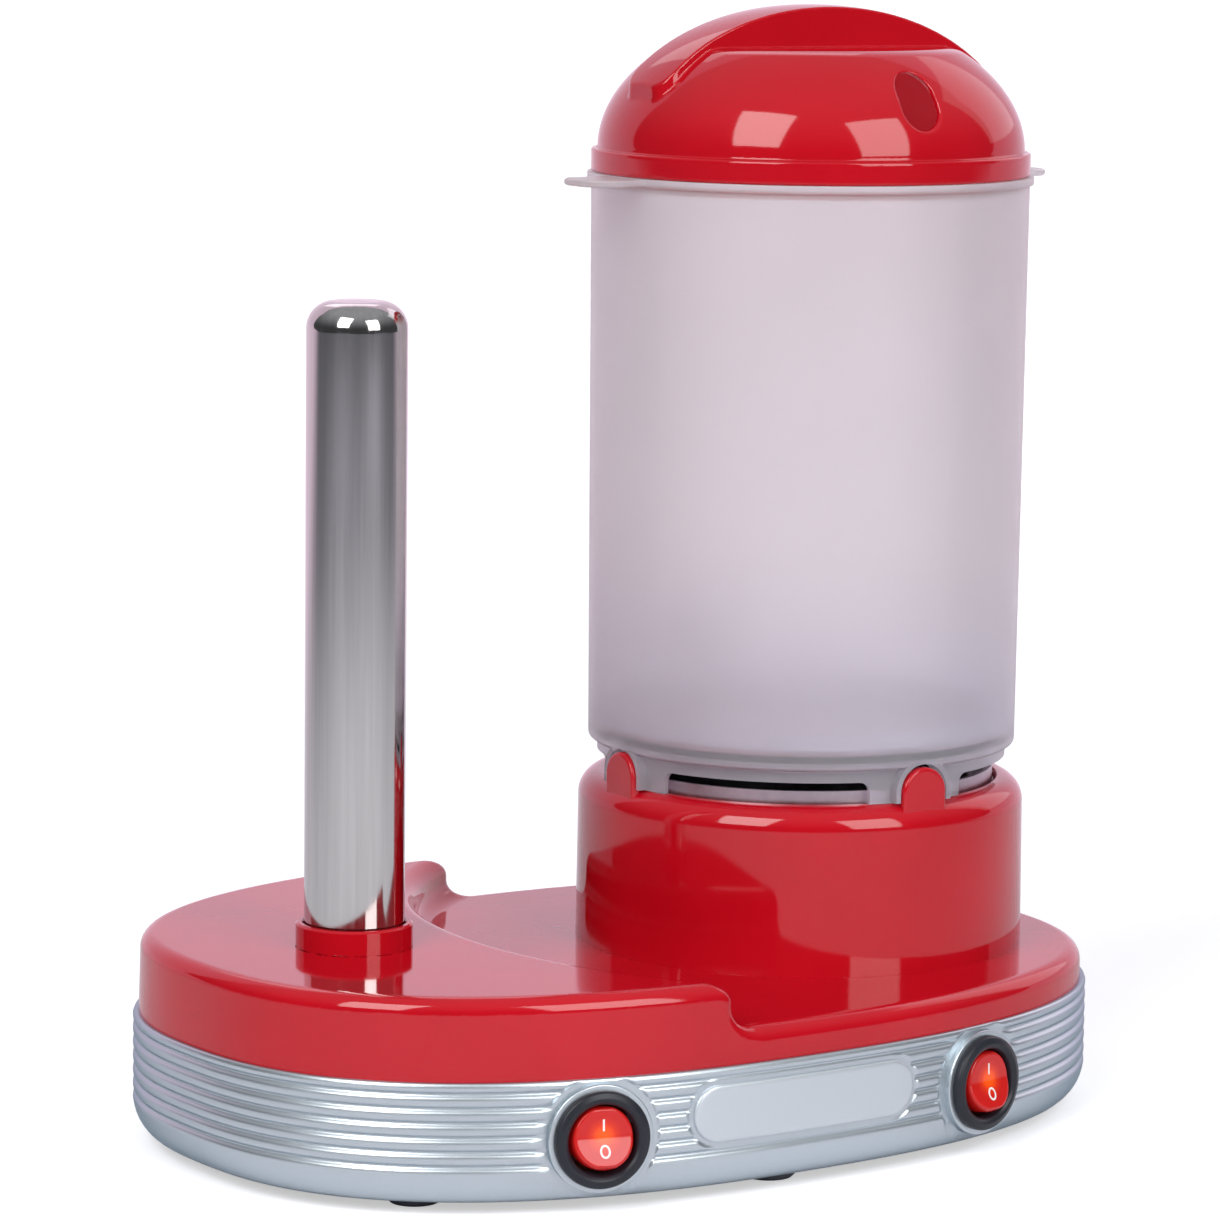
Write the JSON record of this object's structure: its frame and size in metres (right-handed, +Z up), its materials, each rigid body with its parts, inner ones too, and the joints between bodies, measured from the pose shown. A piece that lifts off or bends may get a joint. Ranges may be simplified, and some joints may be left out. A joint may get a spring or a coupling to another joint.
{
  "type": "hot dog toaster",
  "caption": "Countertop hot dog maker: oval base with rocker switches, upright heated bun spike, and a steaming tower with a lift-off frosted container, tray and lid.",
  "frame": {"origin": "middle of the bounding box on the surface the feet stand on", "axes": "+X from the spike towards the tower, -Y towards the front with the two switches, +Z up"},
  "size_m": [0.2472, 0.174, 0.273],
  "materials": {
    "red": "high gloss moulded housing",
    "black": "fine matt moulding",
    "silver": "silver satin paint",
    "rubber": "matt moulded rubber",
    "seal": "silicone ring",
    "grey_plastic": "fine matt moulding",
    "cream_plastic": "heat-proof insulating moulding",
    "zinc_steel": "zinc plated",
    "polished_steel": "polished stainless steel",
    "heater_steel": "dull stainless sheath",
    "dish_coat": "dark non-stick coating",
    "brass": "bright stamped",
    "thermostat": "phenolic body",
    "fuse": "drawn metal case",
    "rocker": "translucent orange-red moulding",
    "lamp": "neon lamp bulb",
    "frosted": "frosted translucent moulding",
    "tray": "translucent white moulding",
    "lid": "high gloss moulding",
    "wire_sheath": "silicone insulation"
  },
  "bodies": {
    "base": {"top_cover": "red", "tower": "red", "spike_collar": "red", "switch_body_left": "black", "switch_body_right": "black", "cord_bush": "black", "side_band": "silver", "name_plate": "silver", "rubber_feet": "rubber", "dish_seal": "seal", "bottom_cover": "grey_plastic", "cord_clamp": "grey_plastic", "terminal_block": "cream_plastic", "spike_cap": "cream_plastic", "housing_screws": "zinc_steel", "bracket_screws": "zinc_steel", "dish_nuts": "zinc_steel", "clamp_ring_screws": "zinc_steel", "clamp_screws": "zinc_steel", "shield_spacers": "zinc_steel", "spike_bracket": "zinc_steel", "dish_clamp": "zinc_steel", "heat_shield": "zinc_steel", "spike_tube": "polished_steel", "spike_heater": "heater_steel", "heating_element": "heater_steel", "heating_dish": "dish_coat", "switch_tabs_left": "brass", "switch_tabs_right": "brass", "thermostat": "thermostat", "thermal_fuse": "fuse", "lamp_left": "lamp", "lamp_right": "lamp", "wiring_supply": "wire_sheath", "wiring_spike": "wire_sheath", "wiring_dish": "wire_sheath"},
    "container": {"container": "frosted"},
    "lid": {"lid": "lid"},
    "tray": {"sausage_tray": "tray"},
    "rocker_left": {"rocker_left": "rocker"},
    "rocker_right": {"rocker_right": "rocker"}
  },
  "joints": [
    {"name": "container_lift", "type": "slide", "parent": "base", "child": "container", "axis": [0, 0, 1], "range_m": [0, 0.06]},
    {"name": "lid_lift", "type": "slide", "parent": "container", "child": "lid", "axis": [0, 0, 1], "range_m": [0, 0.06]},
    {"name": "tray_lift", "type": "slide", "parent": "container", "child": "tray", "axis": [0, 0, 1], "range_m": [0, 0.1]},
    {"name": "rocker_left_rock", "type": "hinge", "parent": "base", "child": "rocker_left", "pos_m": [-0.06004, -0.07862, 0.018], "axis": [0.9641, -0.2654, 0], "range_deg": [0, 24]},
    {"name": "rocker_right_rock", "type": "hinge", "parent": "base", "child": "rocker_right", "pos_m": [0.04927, -0.08099, 0.018], "axis": [0.98, 0.199, 0], "range_deg": [0, 24]}
  ]
}
